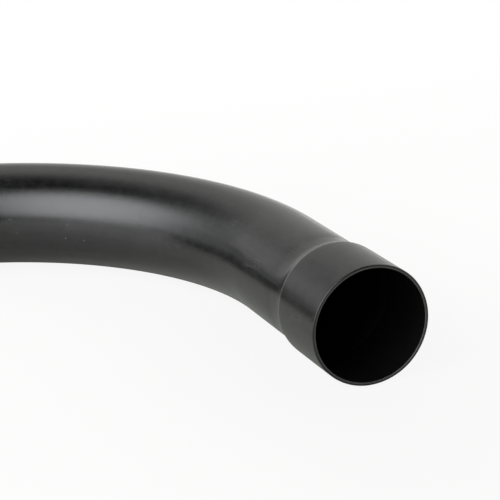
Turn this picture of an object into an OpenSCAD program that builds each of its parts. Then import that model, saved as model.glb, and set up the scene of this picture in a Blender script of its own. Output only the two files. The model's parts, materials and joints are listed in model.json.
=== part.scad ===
// Single-socket cable duct bend in unplasticised PVC.
// One length of duct is bent hot to a long sweep. One end is belled hot into a socket
// that takes the next duct, and the other end is left plain as the spigot.
// Each length below is one stretch of that duct, cut where its forming changes.
// The socket mouth is centred on the origin and faces -Y. The bend lies in the XY plane
// and turns towards -X, so the bend lies flat with +Z up.

/* [Duct] */
// Outside diameter of the duct
duct_od = 110; // [60:1:200]
// Wall thickness of the duct
duct_wall = 3.2; // [2:0.1:6]

/* [Bend] */
// Radius of the bend, to the centre line of the duct
bend_radius = 330; // [240:5:900]
// Angle that the duct turns through
bend_angle = 90; // [15:1:90]
// Straight duct between the bend and the root of the bell
socket_leg_length = 94; // [20:1:400]

/* [Socket] */
// Depth of the parallel bore that takes the next duct
socket_depth = 76; // [40:1:160]
// Length of the flare between the parallel bore and the duct
flare_length = 26; // [12:1:60]
// Wall thickness of the belled end
socket_wall = 3.2; // [2:0.1:6]
// Radial clearance between the socket and the duct that enters it
socket_clearance = 0.5; // [0.1:0.05:1]
// Break on the outer edge of the mouth
mouth_break = 0.6; // [0.2:0.1:1.5]

/* [Spigot] */
// Straight duct between the bend and the plain end
spigot_leg_length = 195; // [60:1:600]
// Length of the lead-in chamfer on the plain end
chamfer_length = 6; // [2:0.5:15]
// Depth that the chamfer takes off the wall
chamfer_depth = 1.6; // [0.4:0.1:1.8]

/* [Hidden] */
$fn = 128;

DUCT_COLOR = [0.09, 0.09, 0.09];
// Straight steps that follow the curve of the flare
FLARE_STEPS = 12;
// How fast the flare falls away from the barrel: the power of the run still to go
FLARE_POWER = 2.5;

duct_r = duct_od / 2;
duct_bore_r = duct_r - duct_wall;
socket_bore_r = duct_r + socket_clearance;
socket_r = socket_bore_r + socket_wall;
// Distances along the duct from the mouth of the socket
bell_length = socket_depth + flare_length;
bend_start = bell_length + socket_leg_length;

// Points of the flare from the bore (or barrel) radius down to the duct radius.
// It drops away from the barrel at a crease and runs out level into the duct.
function flare_points(duct_radius, barrel_radius) = [
    for (i = [0 : FLARE_STEPS])
        let (
            share = i / FLARE_STEPS,
            rise = (barrel_radius - duct_radius) * pow(1 - share, FLARE_POWER)
        )
        [duct_radius + rise, socket_depth + flare_length * share]
];

function reversed(points) = [for (i = [len(points) - 1 : -1 : 0]) points[i]];

// Turns a half profile, drawn as [radius, distance along the duct], about the duct's axis.
// The duct runs towards +Y.
module turned(profile) {
    rotate([-90, 0, 0])
        rotate_extrude()
            polygon(profile);
}

// Moves a stretch of duct that starts at the origin to the far end of the bend.
module after_bend() {
    translate([-bend_radius, bend_start, 0])
        rotate([0, 0, bend_angle])
            translate([bend_radius, 0, 0])
                children();
}

// The belled end: a parallel barrel at the mouth and the flare that joins it to the duct.
module bell_socket() {
    outside = concat(
        [[socket_r - mouth_break, 0], [socket_r, mouth_break]],
        flare_points(duct_r, socket_r)
    );
    inside = concat(
        [[socket_bore_r, 0]],
        flare_points(duct_bore_r, socket_bore_r)
    );
    color(DUCT_COLOR)
        turned(concat(outside, reversed(inside)));
}

// Straight duct between the root of the bell and the start of the bend.
module socket_leg() {
    color(DUCT_COLOR)
        translate([0, bell_length, 0])
            turned([
                [duct_bore_r, 0],
                [duct_r, 0],
                [duct_r, socket_leg_length],
                [duct_bore_r, socket_leg_length]
            ]);
}

// The swept bend, a stretch of duct carried round the bend radius.
module swept_bend() {
    color(DUCT_COLOR)
        translate([-bend_radius, bend_start, 0])
            rotate_extrude(angle = bend_angle)
                translate([bend_radius, 0])
                    difference() {
                        circle(duct_r);
                        circle(duct_bore_r);
                    }
}

// The plain end: straight duct with a lead-in chamfer on its outer edge.
module spigot_leg() {
    color(DUCT_COLOR)
        after_bend()
            turned([
                [duct_bore_r, 0],
                [duct_r, 0],
                [duct_r, spigot_leg_length - chamfer_length],
                [duct_r - chamfer_depth, spigot_leg_length],
                [duct_bore_r, spigot_leg_length]
            ]);
}

bell_socket();
socket_leg();
swept_bend();
spigot_leg();
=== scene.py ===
import json
import math

import bpy
import numpy as np
from mathutils import Matrix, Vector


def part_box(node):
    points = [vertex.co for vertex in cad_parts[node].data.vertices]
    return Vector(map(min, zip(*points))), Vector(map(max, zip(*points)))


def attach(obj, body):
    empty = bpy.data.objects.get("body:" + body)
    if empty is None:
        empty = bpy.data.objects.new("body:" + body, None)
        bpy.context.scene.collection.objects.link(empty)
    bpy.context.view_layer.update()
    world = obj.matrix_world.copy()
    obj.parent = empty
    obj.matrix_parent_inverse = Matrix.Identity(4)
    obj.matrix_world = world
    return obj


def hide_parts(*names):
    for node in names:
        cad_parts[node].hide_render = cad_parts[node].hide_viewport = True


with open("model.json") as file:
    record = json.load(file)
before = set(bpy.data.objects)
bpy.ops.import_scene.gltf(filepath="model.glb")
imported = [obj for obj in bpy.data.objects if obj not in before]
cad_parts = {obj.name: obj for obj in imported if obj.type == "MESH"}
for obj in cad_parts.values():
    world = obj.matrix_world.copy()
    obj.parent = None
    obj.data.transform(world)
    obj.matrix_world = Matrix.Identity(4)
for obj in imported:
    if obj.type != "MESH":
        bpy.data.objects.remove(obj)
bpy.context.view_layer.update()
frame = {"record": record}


# Spigot leg
# The plain end of the duct: straight extruded black PVC pipe, sawn square and turned to a
# short lead-in chamfer, so that it slides into the socket of the next length.
leg_low, leg_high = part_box("socket_leg")
bend_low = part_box("swept_bend")[0]
spigot_low, spigot_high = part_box("spigot_leg")
mounts = {mount["name"]: mount["dims"] for mount in frame["record"]["mounts"]}
MM = 0.001
DUCT_RADIUS = leg_high.z
DUCT_BORE = mounts["spigot_bore"]["r_mm"] * MM
BEND_RADIUS = -bend_low.x
BEND_START = leg_high.y
BEND_END = BEND_START + BEND_RADIUS * math.pi / 2
DUCT_END = BEND_END + spigot_high.x - spigot_low.x
CHAMFER_LENGTH = 0.006
CHAMFER_DEPTH = 0.0016
SAWN_EDGE = 0.0003
AROUND = 192
# Distance from a piece's end to its first ring, which keeps the shading straight there.
END_RING = 0.0002
# Faces that meet at more than this angle keep a sharp edge between them.
SHARP_ANGLE = math.radians(40)


def bent_place(radius, distance, angle):
    """Points of the duct at a radius, a distance along it from the mouth and an angle round it.

    The centre line runs straight, turns on the bend's circle and runs straight again. The turn so
    far is the distance past the bend's start over its radius, kept between 0 and a right angle, and
    what is left of the distance goes straight on along the tangent there.
    """
    turn = np.clip((distance - BEND_START) / BEND_RADIUS, 0, math.pi / 2)
    onward = distance - BEND_START - BEND_RADIUS * turn
    outward = BEND_RADIUS + radius * np.cos(angle)
    x = -BEND_RADIUS + outward * np.cos(turn) - onward * np.sin(turn)
    y = BEND_START + outward * np.sin(turn) + onward * np.cos(turn)
    z = radius * np.sin(angle) + 0 * distance
    return np.stack(np.broadcast_arrays(x, y, z), axis=-1)


def eased(profile, reach, steps=4):
    """A profile with each inner corner replaced by a parabola that starts and ends at a reach from it.

    The parabola is the quadratic curve between the two points, with the corner as its control point.
    """
    profile = np.asarray(profile, float)
    before, corner, after = profile[:-2], profile[1:-1], profile[2:]
    to_before = before - corner
    to_after = after - corner
    to_before /= np.linalg.norm(to_before, axis=1, keepdims=True)
    to_after /= np.linalg.norm(to_after, axis=1, keepdims=True)
    share = np.linspace(0, 1, steps + 1)[None, :, None]
    start = (corner + reach * to_before)[:, None]
    end = (corner + reach * to_after)[:, None]
    curve = (1 - share) ** 2 * start + 2 * share * (1 - share) * corner[:, None] + share ** 2 * end
    return np.vstack([profile[:1], curve.reshape(-1, 2), profile[-1:]])


def wall_piece(name, runs, swell=None):
    """A closed stretch of duct wall: one closed profile carried round the duct's centre line.

    The profile is drawn as [distance, radius] in runs, each with its finish. It goes along the
    outside, over the far edge, back along the bore and over the near edge to where it began. A swell
    moves each point out or in.
    """
    profile = np.vstack([points for points, finish in runs])
    rows = len(profile)
    angle = np.linspace(0, 2 * math.pi, AROUND, endpoint=False)[None, :]
    distance = profile[:, :1] + 0 * angle
    radius = profile[:, 1:] + 0 * angle
    if swell is not None:
        radius = radius + swell(distance, angle)
    place = bent_place(radius, distance, angle)
    unbent = np.stack([radius * np.cos(angle), distance, radius * np.sin(angle)], axis=-1)
    row, column = np.mgrid[0:rows, 0:AROUND]
    next_row, next_column = (row + 1) % rows, (column + 1) % AROUND
    corners = [row * AROUND + column, next_row * AROUND + column,
               next_row * AROUND + next_column, row * AROUND + next_column]
    faces = np.stack(corners, axis=-1).reshape(-1, 4)
    mesh = bpy.data.meshes.new(name)
    mesh.from_pydata(place.reshape(-1, 3), [], faces, shade_flat=False)
    mesh.set_sharp_from_angle(angle=SHARP_ANGLE)
    unbent_layer = mesh.attributes.new("unbent", "FLOAT_VECTOR", "POINT")
    unbent_layer.data.foreach_set("vector", unbent.astype(np.float32).ravel())
    # The bake map lays the wall out flat: the angle one way, the run of the profile the other.
    steps = np.linalg.norm(np.diff(profile, axis=0, append=profile[:1]), axis=1)
    run = np.concatenate([[0], np.cumsum(steps)]) / steps.sum()
    u = np.stack([column, column, column + 1, column + 1], axis=-1) / AROUND
    v = np.stack([run[row], run[row + 1], run[row + 1], run[row]], axis=-1)
    bake_map = mesh.uv_layers.new(name="OFBake", do_init=False)
    bake_map.uv.foreach_set("vector", np.stack([u, v], axis=-1).astype(np.float32).ravel())
    for points, finish in runs:
        mesh.materials.append(finish)
    run_of_row = np.repeat(np.arange(len(runs)), [len(points) for points, finish in runs])
    mesh.polygons.foreach_set("material_index", np.repeat(run_of_row, AROUND).astype(np.int32))
    mesh.validate()
    mesh.update()
    piece = bpy.data.objects.new(name, mesh)
    bpy.context.scene.collection.objects.link(piece)
    return piece


class Shade:
    """A shader socket that takes part in Python arithmetic: each operator adds a Math node."""

    def __init__(self, tree, socket=None):
        self.tree = tree
        self.socket = socket

    def add(self, kind, settings, sockets, output=0):
        """Adds a node: its settings first, then a value or a link for each of its sockets."""
        node = self.tree.nodes.new(kind)
        for key, value in settings.items():
            setattr(node, key, value)
        for key, value in sockets.items():
            if isinstance(value, Shade):
                self.tree.links.new(value.socket, node.inputs[key])
            else:
                node.inputs[key].default_value = value
        return Shade(self.tree, node.outputs[output] if node.outputs else None)

    def maths(self, operation, *values):
        """One Math node, with the values in the order of its sockets."""
        return self.add("ShaderNodeMath", {"operation": operation}, dict(enumerate(values)))

    def __add__(self, other):
        return self.maths("ADD", self, other)

    def __sub__(self, other):
        return self.maths("SUBTRACT", self, other)

    def __rsub__(self, other):
        return self.maths("SUBTRACT", other, self)

    def __mul__(self, other):
        return self.maths("MULTIPLY", self, other)

    def __truediv__(self, other):
        return self.maths("DIVIDE", self, other)

    def __pow__(self, other):
        return self.maths("POWER", self, other)

    __radd__ = __add__
    __rmul__ = __mul__

    def rise(self, start, end):
        """0 up to start, 1 from end on, and a smooth rise between."""
        return self.add("ShaderNodeMapRange", {"interpolation_type": "SMOOTHSTEP"},
                        {"Value": self, "From Min": start, "From Max": end})

    def between(self, low, high):
        """Mixes two colours by this value."""
        return self.add("ShaderNodeMix", {"data_type": "RGBA"}, {0: self, 6: low, 7: high}, 2)

    def scaled(self, factors):
        """Multiplies a place by a vector, one factor for each axis."""
        return self.add("ShaderNodeVectorMath", {"operation": "MULTIPLY"}, {0: self, 1: factors})

    def drawn(self, share):
        """Shortens the way along the duct to a share of itself, so that a pattern runs out into lines."""
        return self.scaled((1.0, share, 1.0))

    def noise(self, scale, detail=2.0, roughness=0.5):
        """A smooth random pattern over a place: finer with the scale, with more layers for more detail."""
        return self.add("ShaderNodeTexNoise", {},
                        {"Vector": self, "Scale": scale, "Detail": detail, "Roughness": roughness})


PVC_IOR = 1.53


def new_finish(name):
    """A material with an empty tree, and the place on the duct as it was before it was bent."""
    material = bpy.data.materials.new(name)
    material.use_nodes = True
    material.node_tree.nodes.clear()
    place = Shade(material.node_tree).add("ShaderNodeAttribute", {"attribute_name": "unbent"}, {}, "Vector")
    return material, place


def finish_with(place, sockets, height, strength, depth):
    """Ends a finish: a bump from the height, the plastic's shader and the output."""
    bump = place.add("ShaderNodeBump", {}, {"Height": height, "Strength": strength, "Distance": depth})
    plastic = place.add("ShaderNodeBsdfPrincipled", {}, {**sockets, "IOR": PVC_IOR, "Normal": bump})
    place.add("ShaderNodeOutputMaterial", {}, {"Surface": plastic})


SKIN_DARK = (0.0034, 0.0035, 0.0033, 1.0)
SKIN_PALE = (0.0124, 0.0126, 0.0120, 1.0)
# A paler colour along the crease: a painted highlight.
CREASE_PAINTED_HIGHLIGHT = (0.100, 0.100, 0.097, 1.0)
RUBBED_PALE = (0.040, 0.040, 0.039, 1.0)
DUST_PALE = (0.24, 0.24, 0.23, 1.0)
DUST_SCALE = 75.0
# Where the barrel ends and the flare begins, and where the flare has run out into the plain duct.
BARREL_LENGTH = mounts["socket"]["length_mm"] * MM
LEG_START = leg_low.y
# How far the painted highlight of the crease, a paler colour, reaches on to the barrel and on to the flare.
HIGHLIGHT_ON_BARREL = 0.002
HIGHLIGHT_ON_FLARE = 0.003


def duct_outside():
    """Satin black PVC as it leaves the die: lines along the duct, fine peel, soft clouds, rubs and dust.

    The colour goes from dark to pale by a weighted sum of the patterns, then to a painted highlight
    along the crease, and to the pale of the rubs and the dust where they lie. The belled end is a
    little duller, because it was heated again.
    """
    material, place = new_finish("black_pvc_outside")
    die_lines = place.drawn(0.006).noise(900.0, detail=3.0, roughness=0.6)
    streaks = place.drawn(0.02).noise(260.0)
    bands = place.drawn(0.03).noise(70.0)
    clouds = place.noise(11.0, detail=4.0, roughness=0.55)
    peel = place.noise(330.0, detail=3.0, roughness=0.65)
    ripple = place.noise(95.0)
    grain = place.noise(2400.0, roughness=0.6)
    waves = place.noise(26.0, detail=1.0)
    rub_spread = place.noise(17.0, detail=5.0, roughness=0.62).rise(0.55, 0.72)
    rub_lines = place.drawn(0.12).noise(420.0, detail=4.0, roughness=0.7).rise(0.46, 0.66)
    rubs = rub_spread * rub_lines
    from_speck = place.add("ShaderNodeTexVoronoi", {}, {"Vector": place, "Scale": DUST_SCALE})
    speck_draw = place.add("ShaderNodeTexVoronoi", {}, {"Vector": place, "Scale": DUST_SCALE}, "Color")
    speck_size = place.add("ShaderNodeSeparateColor", {}, {"Color": speck_draw}, "Red").rise(0.66, 1.0)
    dust = (speck_size * 0.045 - from_speck).rise(0.0, 0.014)
    along = place.add("ShaderNodeSeparateXYZ", {}, {"Vector": place}, "Y")
    belled = 1 - along.rise(BARREL_LENGTH, LEG_START)
    towards_crease = along.rise(BARREL_LENGTH - HIGHLIGHT_ON_BARREL, BARREL_LENGTH)
    past_crease = along.rise(BARREL_LENGTH, BARREL_LENGTH + HIGHLIGHT_ON_FLARE)
    crease = towards_crease * (1 - past_crease)
    mottle = clouds * 0.15 + bands * 0.1 + streaks * 0.15 + die_lines * 0.15 + peel * 0.25 + ripple * 0.2
    colour = mottle.rise(0.41, 0.59).between(SKIN_DARK, SKIN_PALE)
    # Painted highlight: the colour turns paler along the crease.
    colour = (crease * (0.4 + peel * 0.6)).between(colour, CREASE_PAINTED_HIGHLIGHT)
    colour = (rubs * 0.55).between(colour, RUBBED_PALE)
    colour = (dust * 0.8).between(colour, DUST_PALE)
    texture = clouds * 0.05 + die_lines * 0.04 + streaks * 0.04 + bands * 0.03 + peel * 0.06
    roughness = 0.08 + texture + belled * 0.06 + rubs * 0.14 + dust * 0.3
    height = grain * 0.1 + die_lines * 0.25 + streaks * 0.2 + peel * 0.6
    height = height + ripple * 0.6 + waves * 0.5 + rubs * 0.12
    sockets = {"Base Color": colour, "Roughness": roughness}
    finish_with(place, sockets, height, strength=0.30, depth=0.00035)
    return material


# The bore's colours are darker than the outside's: the black of the PVC with painted shade inside the duct.
BORE_DARK_PAINTED_SHADE = (0.0009, 0.0009, 0.0008, 1.0)
BORE_PALE_PAINTED_SHADE = (0.0022, 0.0022, 0.0020, 1.0)
BORE_GLOSS = 0.12


def duct_bore():
    """The bore, dull from the die's mandrel: drawn lines and clouds, a fine grain, and painted shade."""
    material, place = new_finish("black_pvc_bore")
    drawn_lines = place.drawn(0.01).noise(520.0, detail=3.0, roughness=0.6)
    clouds = place.noise(14.0, detail=4.0, roughness=0.55)
    grain = place.noise(1800.0, roughness=0.6)
    # Painted shade: the bore's colour is darker than the outside's.
    colour = (clouds * 0.6 + drawn_lines * 0.4).rise(0.32, 0.68).between(BORE_DARK_PAINTED_SHADE, BORE_PALE_PAINTED_SHADE)
    roughness = 0.46 + clouds * 0.10 + drawn_lines * 0.08
    height = grain * 0.2 + drawn_lines * 0.5
    sockets = {"Base Color": colour, "Roughness": roughness, "Specular IOR Level": BORE_GLOSS}
    finish_with(place, sockets, height, strength=0.35, depth=0.0003)
    return material


SAWN_DARK = (0.003, 0.003, 0.0029, 1.0)
SAWN_PALE = (0.008, 0.008, 0.0078, 1.0)


def cut_edge(name, dark, pale):
    """A sawn or scraped edge: fine saw marks over a coarser chatter, duller than the skin."""
    material, place = new_finish(name)
    saw_marks = place.noise(1500.0, detail=4.0, roughness=0.7)
    chatter = place.noise(240.0, detail=3.0, roughness=0.6)
    marks = saw_marks * 0.6 + chatter * 0.4
    colour = marks.rise(0.30, 0.72).between(dark, pale)
    sockets = {"Base Color": colour, "Roughness": 0.40 + saw_marks * 0.2}
    finish_with(place, sockets, marks, strength=0.4, depth=0.0002)
    return material


skin = duct_outside()
bore = duct_bore()
sawn = cut_edge("black_pvc_sawn", SAWN_DARK, SAWN_PALE)
spigot_outside = [[BEND_END, DUCT_RADIUS], [BEND_END + END_RING, DUCT_RADIUS]]
spigot_edge = eased(
    [[DUCT_END - CHAMFER_LENGTH - SAWN_EDGE, DUCT_RADIUS],
     [DUCT_END - CHAMFER_LENGTH, DUCT_RADIUS],
     [DUCT_END, DUCT_RADIUS - CHAMFER_DEPTH],
     [DUCT_END, DUCT_BORE],
     [DUCT_END - SAWN_EDGE, DUCT_BORE]],
    SAWN_EDGE / 2)
spigot_inside = [
    [DUCT_END - 2 * SAWN_EDGE, DUCT_BORE],
    [BEND_END + END_RING, DUCT_BORE],
    [BEND_END, DUCT_BORE],
]
spigot = wall_piece("spigot_end", [(spigot_outside, skin), (spigot_edge, sawn), (spigot_inside, bore)])
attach(spigot, "root")
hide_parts("spigot_leg")


# Swept bend
# The same black PVC duct, heated and drawn round a long former through a right angle. It goes
# on from the spigot leg with no joint, at the same bore and wall.
BEND_RINGS = 97


def level_run(distance, radius):
    """A run of the profile that keeps one radius at every distance."""
    return np.stack([distance, np.full_like(distance, radius)], axis=1)


bend_distance = np.linspace(BEND_START, BEND_END, BEND_RINGS)
bend_distance = np.insert(bend_distance, [1, BEND_RINGS - 1], [BEND_START + END_RING, BEND_END - END_RING])
bend_outside = level_run(bend_distance, DUCT_RADIUS)
bend_inside = level_run(bend_distance, DUCT_BORE)[::-1]
bend = wall_piece("long_sweep", [(bend_outside, skin), (bend_inside, bore)])
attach(bend, "root")
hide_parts("swept_bend")


# Socket leg
# A short straight length of the duct, left plain between the bend and the bell so that the
# former and the belling tool don't meet. The hot duct drew in a little behind the bell.
LEG_RINGS = 41
NECK_DEPTH = 0.00030
NECK_BEHIND = 0.002
NECK_SPREAD = 0.008


def drawn_neck(distance, angle):
    """How far the duct drew in behind the bell: a bell curve of the distance from its narrowest place."""
    from_neck = distance - (LEG_START + NECK_BEHIND)
    return -NECK_DEPTH * np.exp(-(from_neck / NECK_SPREAD) ** 2) + 0 * angle


leg_distance = np.linspace(LEG_START, BEND_START, LEG_RINGS)
leg_distance = np.insert(leg_distance, LEG_RINGS - 1, BEND_START - END_RING)
leg_outside = level_run(leg_distance, DUCT_RADIUS)
leg_inside = level_run(leg_distance, DUCT_BORE)[::-1]
leg = wall_piece("plain_leg", [(leg_outside, skin), (leg_inside, bore)], drawn_neck)
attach(leg, "root")
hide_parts("socket_leg")


# Bell socket
# The mouth of the elbow: the heated end of the duct pushed over a mandrel, which opens it to a
# parallel socket. A short flare runs down to the duct and leaves a crease where it meets the
# barrel. The mouth is sawn, and its inner edge is scraped and painted paler as a highlight.
bell_low, bell_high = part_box("bell_socket")
BELL_RADIUS = bell_high.z
BELL_BORE = mounts["socket"]["r_mm"] * MM
LIP = 0.0010
LIP_STEPS = 8
SCRAPE = 0.0014
MOUTH_REACH = 0.003
BARREL_RINGS = 27
FLARE_RINGS = 28
CREASE_EASE = 0.0004
SHOULDER_LENGTH = 0.012
SHOULDER_DROP = 0.00015
FLARE_POWER = 3.4
OVAL_DEPTH = 0.00045
THREE_LOBE_DEPTH = 0.00015
THREE_LOBE_TURN = 2.6
SEVEN_LOBE_DEPTH = 0.00004
# Paler colours for the mouth's inner edge: a painted highlight.
INNER_EDGE_HIGHLIGHT_DARK = (0.028, 0.028, 0.027, 1.0)
INNER_EDGE_HIGHLIGHT_PALE = (0.060, 0.060, 0.058, 1.0)


def bell_curve(duct_radius, barrel_radius):
    """The bell from barrel to duct, as [distance, radius].

    The barrel is level, and over its last stretch it drops by the square of the share run. The flare
    is a power of the share still to run, steepest at the crease and level at the duct. A parabola
    eases the crease.
    """
    distance = np.linspace(2 * MOUTH_REACH, BARREL_LENGTH, BARREL_RINGS)
    dropped = np.clip(1 - (BARREL_LENGTH - distance) / SHOULDER_LENGTH, 0, 1) ** 2
    barrel = np.stack([distance, barrel_radius - SHOULDER_DROP * dropped], axis=1)
    share = np.linspace(0, 1, FLARE_RINGS + 1)
    distance = BARREL_LENGTH + (LEG_START - BARREL_LENGTH) * share
    radius = duct_radius + (barrel_radius - SHOULDER_DROP - duct_radius) * (1 - share) ** FLARE_POWER
    flare = np.stack([distance, radius], axis=1)
    crease = eased([barrel[-2], barrel[-1], flare[1]], CREASE_EASE)
    return np.vstack([barrel[:-2], crease, flare[2:]])


def belled_swell(distance, angle):
    """How far the bell is out of round, with the neck behind it.

    Cosine waves of two, three and seven lobes go round the bell. They are strongest at the mouth and
    die away evenly towards the duct.
    """
    oval = OVAL_DEPTH * np.cos(2 * angle)
    three_lobes = THREE_LOBE_DEPTH * np.cos(3 * angle + THREE_LOBE_TURN)
    seven_lobes = SEVEN_LOBE_DEPTH * np.cos(7 * angle)
    fading = np.clip(1 - distance / LEG_START, 0, 1)
    return (oval + three_lobes + seven_lobes) * fading + drawn_neck(distance, angle)


# The mouth's inner edge in these paler colours: a painted highlight.
inner_edge_highlight = cut_edge("black_pvc_inner_edge_highlight", INNER_EDGE_HIGHLIGHT_DARK, INNER_EDGE_HIGHLIGHT_PALE)
mouth_lip = eased(
    [[0, BELL_RADIUS - 2 * LIP], [0, BELL_RADIUS], [MOUTH_REACH, BELL_RADIUS]],
    LIP, LIP_STEPS)[1:]
bell_outside = np.vstack([mouth_lip, bell_curve(DUCT_RADIUS, BELL_RADIUS)])
bell_inside = np.vstack([[[MOUTH_REACH, BELL_BORE]], bell_curve(DUCT_BORE, BELL_BORE)])[::-1]
mouth_scrape = eased(
    [[2 * SAWN_EDGE, BELL_BORE],
     [SAWN_EDGE, BELL_BORE],
     [0, BELL_BORE + SAWN_EDGE],
     [0, BELL_BORE + SCRAPE]],
    SAWN_EDGE / 3)[:-1]
mouth_face = [[0, BELL_BORE + SCRAPE]]
bell_runs = [(bell_outside, skin), (bell_inside, bore), (mouth_scrape, inner_edge_highlight), (mouth_face, sawn)]
bell = wall_piece("bell_mouth", bell_runs, belled_swell)
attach(bell, "root")
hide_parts("bell_socket")


# Floor
# A pale floor with a satin face, level with the bell's lowest line. Its colour is darker close to
# the elbow, a painted shadow, and paler away from it and far behind, painted light. It is lifted
# to near white for the camera, so that the elbow's shadow stays.
FLOOR_HALF = 9.0
FLOOR_NEAR_PAINTED_SHADOW = (0.36, 0.37, 0.33, 1.0)
FLOOR_AWAY = (0.70, 0.71, 0.66, 1.0)
FLOOR_BEHIND_PAINTED_LIGHT = (0.95, 0.95, 0.92, 1.0)
FLOOR_ROUGHNESS = 0.42
FLOOR_IOR = 1.5
# The painted shadow reaches this far across the leg, and twice as far along it.
NEAR_REACH = 0.42
NEAR_FACTORS = (1.0, 0.5, 0.0)
BEHIND_START = 0.6
BEHIND_END = 1.4
CAMERA_LIFT = 0.9
MIRROR_LIFT = 0.05
WHITE = (1.0, 1.0, 1.0, 1.0)
floor_mesh = bpy.data.meshes.new("studio_floor")
floor_corners = np.array([[-1, -1, 0], [1, -1, 0], [1, 1, 0], [-1, 1, 0]]) * FLOOR_HALF
floor_corners[:, 2] = bell_low.z
floor_mesh.from_pydata(floor_corners, [], [[0, 1, 2, 3]])
floor = bpy.data.objects.new("studio_floor", floor_mesh)
bpy.context.scene.collection.objects.link(floor)
floor_paint = bpy.data.materials.new("pale_floor")
floor_paint.use_nodes = True
floor_paint.node_tree.nodes.clear()
paint = Shade(floor_paint.node_tree)
floor_place = paint.add("ShaderNodeTexCoord", {}, {}, "Object")
near_place = floor_place.scaled(NEAR_FACTORS)
from_mouth = paint.add("ShaderNodeVectorMath", {"operation": "LENGTH"}, {0: near_place}, "Value")
# Painted shadow close to the elbow and painted light behind it, in the floor's colour.
floor_tone_painted_shadow_and_light = from_mouth.rise(0.0, NEAR_REACH).between(FLOOR_NEAR_PAINTED_SHADOW, FLOOR_AWAY)
behind = paint.add("ShaderNodeSeparateXYZ", {}, {"Vector": floor_place}, "Y").rise(BEHIND_START, BEHIND_END)
floor_tone_painted_shadow_and_light = behind.between(floor_tone_painted_shadow_and_light, FLOOR_BEHIND_PAINTED_LIGHT)
satin_sockets = {"Base Color": floor_tone_painted_shadow_and_light, "Roughness": FLOOR_ROUGHNESS, "IOR": FLOOR_IOR}
satin = paint.add("ShaderNodeBsdfPrincipled", {}, satin_sockets)
lifted = paint.add("ShaderNodeEmission", {}, {"Color": WHITE, "Strength": 1.0})
seen = paint.add("ShaderNodeLightPath", {}, {}, "Is Camera Ray")
passed = paint.add("ShaderNodeLightPath", {}, {}, "Is Transmission Ray")
mirrored = paint.add("ShaderNodeLightPath", {}, {}, "Is Glossy Ray")
lift = (seen + passed) * CAMERA_LIFT + mirrored * MIRROR_LIFT
surface = paint.add("ShaderNodeMixShader", {}, {0: lift, 1: satin, 2: lifted})
paint.add("ShaderNodeOutputMaterial", {}, {"Surface": surface})
floor_mesh.materials.append(floor_paint)


# Studio light
# A large soft box on the left with its spill, a pale wall behind that is brighter low down, a small
# light overhead and a fill on the right, in a dim room. The camera sees white past the floor.
BOX_COLOUR = (0.985, 0.995, 1.02, 1.0)
ROOM_COLOUR = (1.0, 1.0, 0.985, 1.0)
ROOM_GLOW = 0.005
# The least that a direction may face a source, which keeps the division below finite.
LEAST_FACING = 0.001


def soft_source(direction, strength, azimuth, elevation, half_width, half_height,
                side_edge=2.0, top_edge=2.0, lean=0.0):
    """The light of a flat soft source along a direction: its strength at its middle, less past its edges.

    The azimuth runs from straight behind the elbow, to the right. The direction is met with a plane
    that faces it at a unit distance. The fall is the exponential of minus two terms: the distance
    across in half widths and the distance up in half heights, each raised to its edge's power. A lean
    turns the source about its middle.
    """
    turn, tilt, roll = math.radians(azimuth), math.radians(elevation), math.radians(lean)
    middle = np.array([math.sin(turn) * math.cos(tilt), math.cos(turn) * math.cos(tilt), math.sin(tilt)])
    level = np.array([math.cos(turn), -math.sin(turn), 0.0])
    across = math.cos(roll) * level + math.sin(roll) * np.cross(level, middle)
    up = np.cross(across, middle)
    facing, sideways, upward = (
        direction.add("ShaderNodeVectorMath", {"operation": "DOT_PRODUCT"}, {0: direction, 1: axis}, "Value")
        for axis in (middle, across, up))
    in_front = direction.maths("GREATER_THAN", facing, 0.0)
    facing = direction.maths("MAXIMUM", facing, LEAST_FACING)
    from_side = direction.maths("ABSOLUTE", sideways / facing) / half_width
    from_level = direction.maths("ABSOLUTE", upward / facing) / half_height
    fall = direction.maths("EXPONENT", (from_side ** side_edge + from_level ** top_edge) * -1)
    return in_front * fall * strength


world = bpy.data.worlds.new("studio")
bpy.context.scene.world = world
world.use_nodes = True
world.node_tree.nodes.clear()
direction = Shade(world.node_tree).add("ShaderNodeTexCoord", {}, {}, "Generated")
soft_box = soft_source(direction, strength=5.5, azimuth=-112.0, elevation=32.0, half_width=0.77,
                       half_height=0.54, side_edge=2.1, top_edge=3.6, lean=-8.0)
spill = soft_source(direction, strength=1.18, azimuth=-60.0, elevation=26.0, half_width=0.50,
                    half_height=0.37)
back_wall = soft_source(direction, strength=0.62, azimuth=30.0, elevation=8.0, half_width=1.60,
                        half_height=1.00, side_edge=4.0, top_edge=4.0)
low_wall = soft_source(direction, strength=0.40, azimuth=-22.0, elevation=7.5, half_width=0.85,
                       half_height=0.24)
top_light = soft_source(direction, strength=0.78, azimuth=8.0, elevation=56.0, half_width=0.35,
                        half_height=0.28)
right_fill = soft_source(direction, strength=1.3, azimuth=88.0, elevation=34.0, half_width=0.85,
                         half_height=0.50, side_edge=4.0, top_edge=3.0)
from_box = soft_box + spill
from_room = back_wall + low_wall + top_light + right_fill + ROOM_GLOW
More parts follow.
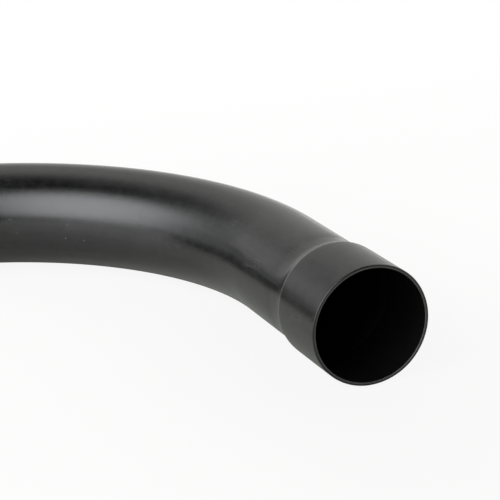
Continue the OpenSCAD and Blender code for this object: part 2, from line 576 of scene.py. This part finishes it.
box_light = direction.add("ShaderNodeBackground", {}, {"Color": BOX_COLOUR, "Strength": from_box})
room_light = direction.add("ShaderNodeBackground", {}, {"Color": ROOM_COLOUR, "Strength": from_room})
studio = direction.add("ShaderNodeAddShader", {}, {0: box_light, 1: room_light})
plain_white = direction.add("ShaderNodeBackground", {}, {"Color": WHITE, "Strength": 1.0})
camera_ray = direction.add("ShaderNodeLightPath", {}, {}, "Is Camera Ray")
backdrop = direction.add("ShaderNodeMixShader", {}, {0: camera_ray, 1: studio, 2: plain_white})
direction.add("ShaderNodeOutputWorld", {}, {"Surface": backdrop})


# Camera
# It stands above and to the left of the mouth's axis, far enough off for a long lens, and is
# turned so that the middle of the mouth falls on its pixel.
SIDE_ANGLE = math.radians(-26.95)
RISE_ANGLE = math.radians(20.465)
CAMERA_DISTANCE = 1.695
FOCAL_PIXELS = 1855.9
PICTURE = 500
SENSOR = 36.0
MOUTH_PIXEL = (371.5, 325.8)
back = np.array([math.sin(SIDE_ANGLE) * math.cos(RISE_ANGLE),
                 -math.cos(SIDE_ANGLE) * math.cos(RISE_ANGLE),
                 math.sin(RISE_ANGLE)])
right = np.cross(-back, [0.0, 0.0, 1.0])
right /= np.linalg.norm(right)
above = np.cross(right, -back)
shift_x = (MOUTH_PIXEL[0] - PICTURE / 2) / FOCAL_PIXELS
shift_y = -(MOUTH_PIXEL[1] - PICTURE / 2) / FOCAL_PIXELS
forward = -back - shift_x * right - shift_y * above
forward /= np.linalg.norm(forward)
right -= right.dot(forward) * forward
right /= np.linalg.norm(right)
above = np.cross(right, forward)
camera_data = bpy.data.cameras.new("camera")
camera_data.sensor_width = SENSOR
camera_data.lens = FOCAL_PIXELS * SENSOR / PICTURE
camera = bpy.data.objects.new("camera", camera_data)
bpy.context.scene.collection.objects.link(camera)
stand = np.eye(4)
stand[:3, :3] = np.stack([right, above, -forward], axis=1)
stand[:3, 3] = CAMERA_DISTANCE * back
camera.matrix_world = Matrix(stand.tolist())
bpy.context.scene.camera = camera
bpy.context.scene.view_settings.view_transform = "Standard"
